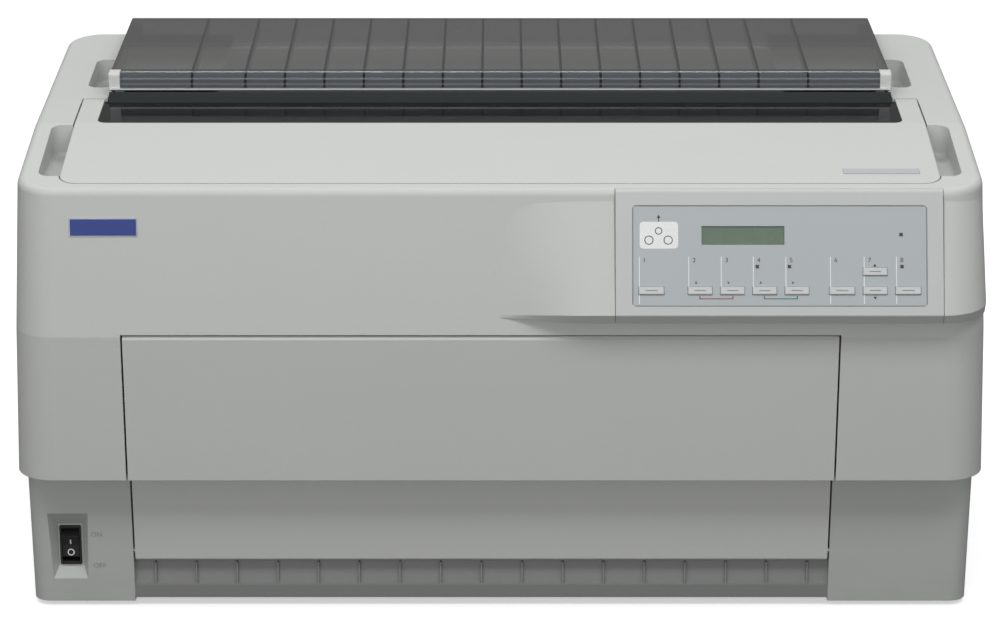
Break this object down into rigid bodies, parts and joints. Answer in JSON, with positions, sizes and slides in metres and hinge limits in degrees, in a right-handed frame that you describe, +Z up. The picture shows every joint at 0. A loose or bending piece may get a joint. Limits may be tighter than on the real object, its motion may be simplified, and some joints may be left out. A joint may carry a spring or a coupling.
{
  "type": "dot matrix printer",
  "caption": "Wide-carriage dot matrix printer with hinged printer cover, tinted rear cover, drop-down front cover and a sloped key panel.",
  "frame": {"origin": "middle of the footprint on the surface that the feet stand on", "axes": "+Z up, -Y towards the operator, +X to the operator's right"},
  "size_m": [0.7, 0.382, 0.363],
  "materials": {
    "case_plastic": "fine texture",
    "base_plastic": "fine texture",
    "key_plastic": "satin",
    "overlay_film": "satin",
    "display_glass": "satin",
    "lamp_plastic": "gloss",
    "badge_metal": "satin",
    "smoke_plastic": "gloss",
    "window_plastic": "gloss",
    "bright_steel": "bright",
    "plated_steel": "satin",
    "black_plastic": "satin",
    "foot_rubber": "matte",
    "platen_rubber": "matte",
    "guide_plastic": "satin",
    "white_plastic": "satin",
    "head_aluminium": "satin",
    "motor_steel": "satin",
    "board_laminate": "satin",
    "tractor_plastic": "satin"
  },
  "bodies": {
    "case": {"upper_case": "case_plastic", "lower_case": "base_plastic", "rubber_feet": "foot_rubber", "chassis_plate": "plated_steel", "side_frames": "plated_steel", "guide_rods": "bright_steel", "paper_guides": "guide_plastic", "case_screws": "bright_steel", "hinge_pins": "bright_steel", "front_guide_strip": "base_plastic", "panel_housing": "case_plastic", "panel_overlay": "overlay_film", "display_window": "display_glass", "indicator_lenses": "lamp_plastic", "badge_plate": "badge_metal", "switch_bezel": "black_plastic", "drive_motors": "motor_steel", "timing_belt": "foot_rubber", "ribbon_cartridge": "black_plastic", "power_supply": "plated_steel", "logic_board": "board_laminate", "interface_connectors": "motor_steel", "power_inlet": "black_plastic"},
    "printer_cover": {"printer_cover": "case_plastic", "cover_window": "window_plastic"},
    "rear_cover": {"rear_cover": "smoke_plastic", "rear_cover_end_caps": "case_plastic", "tear_bar": "bright_steel"},
    "front_cover": {"front_cover": "case_plastic"},
    "rocker": {"power_rocker": "black_plastic"},
    "carriage": {"carriage": "black_plastic", "print_head": "head_aluminium"},
    "platen": {"platen": "platen_rubber"},
    "feed_pinion": {"feed_pinion": "white_plastic"},
    "drive_pulley": {"drive_pulley": "white_plastic"},
    "idler_pulley": {"idler_pulley": "white_plastic"},
    "ribbon_knob": {"ribbon_knob": "guide_plastic"},
    "front_shaft": {"front_tractor_shaft": "bright_steel"},
    "rear_shaft": {"rear_tractor_shaft": "bright_steel"},
    "tractor_select_key": {"tractor_select_button": "key_plastic"},
    "font_key": {"font_button": "key_plastic"},
    "pitch_key": {"pitch_button": "key_plastic"},
    "tear_off_key": {"tear_off_button": "key_plastic"},
    "top_of_form_key": {"top_of_form_button": "key_plastic"},
    "feed_key": {"feed_button": "key_plastic"},
    "micro_up_key": {"micro_up_button": "key_plastic"},
    "micro_down_key": {"micro_down_button": "key_plastic"},
    "pause_key": {"pause_button": "key_plastic"},
    "front_tractor_left": {"front_tractor_left": "tractor_plastic"},
    "front_sprocket_left": {"front_sprocket_left": "white_plastic"},
    "front_door_left": {"front_tractor_door_left": "tractor_plastic"},
    "front_tractor_right": {"front_tractor_right": "tractor_plastic"},
    "front_sprocket_right": {"front_sprocket_right": "white_plastic"},
    "front_door_right": {"front_tractor_door_right": "tractor_plastic"},
    "rear_tractor_left": {"rear_tractor_left": "tractor_plastic"},
    "rear_sprocket_left": {"rear_sprocket_left": "white_plastic"},
    "rear_door_left": {"rear_tractor_door_left": "tractor_plastic"},
    "rear_tractor_right": {"rear_tractor_right": "tractor_plastic"},
    "rear_sprocket_right": {"rear_sprocket_right": "white_plastic"},
    "rear_door_right": {"rear_tractor_door_right": "tractor_plastic"}
  },
  "joints": [
    {"name": "printer_cover_hinge", "type": "hinge", "parent": "case", "child": "printer_cover", "pos_m": [0, 0.0145, 0.3408], "axis": [-1, 0, 0], "range_deg": [0, 75]},
    {"name": "rear_cover_hinge", "type": "hinge", "parent": "case", "child": "rear_cover", "pos_m": [0, 0.181, 0.3562], "axis": [-1, 0, 0], "range_deg": [0, 65]},
    {"name": "front_cover_hinge", "type": "hinge", "parent": "case", "child": "front_cover", "pos_m": [0, -0.1365, 0.044], "axis": [1, 0, 0], "range_deg": [0, 85]},
    {"name": "power_rocker_tilt", "type": "hinge", "parent": "case", "child": "rocker", "pos_m": [-0.316, -0.12798, 0.047], "axis": [-1, 0, 0], "range_deg": [0, 16]},
    {"name": "tractor_select_press", "type": "slide", "parent": "case", "child": "tractor_select_key", "axis": [0, 0.9205, -0.3906], "range_m": [0, 0.001], "stiffness_N_per_m": 300},
    {"name": "font_press", "type": "slide", "parent": "case", "child": "font_key", "axis": [0, 0.9205, -0.3906], "range_m": [0, 0.001], "stiffness_N_per_m": 300},
    {"name": "pitch_press", "type": "slide", "parent": "case", "child": "pitch_key", "axis": [0, 0.9205, -0.3906], "range_m": [0, 0.001], "stiffness_N_per_m": 300},
    {"name": "tear_off_press", "type": "slide", "parent": "case", "child": "tear_off_key", "axis": [0, 0.9205, -0.3906], "range_m": [0, 0.001], "stiffness_N_per_m": 300},
    {"name": "top_of_form_press", "type": "slide", "parent": "case", "child": "top_of_form_key", "axis": [0, 0.9205, -0.3906], "range_m": [0, 0.001], "stiffness_N_per_m": 300},
    {"name": "feed_press", "type": "slide", "parent": "case", "child": "feed_key", "axis": [0, 0.9205, -0.3906], "range_m": [0, 0.001], "stiffness_N_per_m": 300},
    {"name": "micro_up_press", "type": "slide", "parent": "case", "child": "micro_up_key", "axis": [0, 0.9205, -0.3906], "range_m": [0, 0.001], "stiffness_N_per_m": 300},
    {"name": "micro_down_press", "type": "slide", "parent": "case", "child": "micro_down_key", "axis": [0, 0.9205, -0.3906], "range_m": [0, 0.001], "stiffness_N_per_m": 300},
    {"name": "pause_press", "type": "slide", "parent": "case", "child": "pause_key", "axis": [0, 0.9205, -0.3906], "range_m": [0, 0.001], "stiffness_N_per_m": 300},
    {"name": "carriage_travel", "type": "slide", "parent": "case", "child": "carriage", "axis": [1, 0, 0], "range_m": [-0.17, 0.17]},
    {"name": "drive_pulley_spin", "type": "hinge", "parent": "case", "child": "drive_pulley", "pos_m": [0.228, -0.086, 0.168], "axis": [0, 0, 1], "range_deg": [-760, 760]},
    {"name": "idler_pulley_spin", "type": "hinge", "parent": "case", "child": "idler_pulley", "pos_m": [-0.228, -0.086, 0.168], "axis": [0, 0, 1], "range_deg": [-760, 760]},
    {"name": "platen_spin", "type": "hinge", "parent": "case", "child": "platen", "pos_m": [0, -0.034, 0.226], "axis": [1, 0, 0], "continuous": true},
    {"name": "feed_pinion_spin", "type": "hinge", "parent": "case", "child": "feed_pinion", "pos_m": [0.255, -0.00175, 0.226], "axis": [1, 0, 0], "continuous": true},
    {"name": "ribbon_knob_spin", "type": "hinge", "parent": "case", "child": "ribbon_knob", "pos_m": [-0.205, -0.1325, 0.262], "axis": [0, 0, 1], "continuous": true},
    {"name": "front_shaft_spin", "type": "hinge", "parent": "case", "child": "front_shaft", "pos_m": [0, -0.081, 0.066], "axis": [1, 0, 0], "continuous": true},
    {"name": "front_tractor_left_slide", "type": "slide", "parent": "case", "child": "front_tractor_left", "axis": [1, 0, 0], "range_m": [-0.02, 0.12]},
    {"name": "front_sprocket_left_spin", "type": "hinge", "parent": "front_tractor_left", "child": "front_sprocket_left", "pos_m": [-0.198, -0.081, 0.066], "axis": [1, 0, 0], "continuous": true},
    {"name": "front_door_left_hinge", "type": "hinge", "parent": "front_tractor_left", "child": "front_door_left", "pos_m": [-0.201, -0.0945, 0.066], "axis": [0, 0, -1], "range_deg": [0, 100]},
    {"name": "front_tractor_right_slide", "type": "slide", "parent": "case", "child": "front_tractor_right", "axis": [1, 0, 0], "range_m": [-0.12, 0.02]},
    {"name": "front_sprocket_right_spin", "type": "hinge", "parent": "front_tractor_right", "child": "front_sprocket_right", "pos_m": [0.198, -0.081, 0.066], "axis": [1, 0, 0], "continuous": true},
    {"name": "front_door_right_hinge", "type": "hinge", "parent": "front_tractor_right", "child": "front_door_right", "pos_m": [0.201, -0.0945, 0.066], "axis": [0, 0, 1], "range_deg": [0, 100]},
    {"name": "rear_shaft_spin", "type": "hinge", "parent": "case", "child": "rear_shaft", "pos_m": [0, 0.118, 0.15], "axis": [1, 0, 0], "continuous": true},
    {"name": "rear_tractor_left_slide", "type": "slide", "parent": "case", "child": "rear_tractor_left", "axis": [1, 0, 0], "range_m": [-0.02, 0.12]},
    {"name": "rear_sprocket_left_spin", "type": "hinge", "parent": "rear_tractor_left", "child": "rear_sprocket_left", "pos_m": [-0.198, 0.118, 0.15], "axis": [1, 0, 0], "continuous": true},
    {"name": "rear_door_left_hinge", "type": "hinge", "parent": "rear_tractor_left", "child": "rear_door_left", "pos_m": [-0.201, 0.118, 0.1635], "axis": [0, -1, 0], "range_deg": [0, 100]},
    {"name": "rear_tractor_right_slide", "type": "slide", "parent": "case", "child": "rear_tractor_right", "axis": [1, 0, 0], "range_m": [-0.12, 0.02]},
    {"name": "rear_sprocket_right_spin", "type": "hinge", "parent": "rear_tractor_right", "child": "rear_sprocket_right", "pos_m": [0.198, 0.118, 0.15], "axis": [1, 0, 0], "continuous": true},
    {"name": "rear_door_right_hinge", "type": "hinge", "parent": "rear_tractor_right", "child": "rear_door_right", "pos_m": [0.201, 0.118, 0.1635], "axis": [0, 1, 0], "range_deg": [0, 100]}
  ],
  "couplings": [
    {"joint": "feed_pinion_spin", "follows": "platen_spin", "ratio": -3},
    {"joint": "drive_pulley_spin", "follows": "carriage_travel", "rad_per_m": -76.923},
    {"joint": "idler_pulley_spin", "follows": "carriage_travel", "rad_per_m": -76.923},
    {"joint": "front_shaft_spin", "follows": "platen_spin", "ratio": 1.4842},
    {"joint": "front_sprocket_left_spin", "follows": "platen_spin", "ratio": 1.4842},
    {"joint": "front_sprocket_right_spin", "follows": "platen_spin", "ratio": 1.4842},
    {"joint": "rear_shaft_spin", "follows": "platen_spin", "ratio": -1.4842},
    {"joint": "rear_sprocket_left_spin", "follows": "platen_spin", "ratio": -1.4842},
    {"joint": "rear_sprocket_right_spin", "follows": "platen_spin", "ratio": -1.4842}
  ]
}
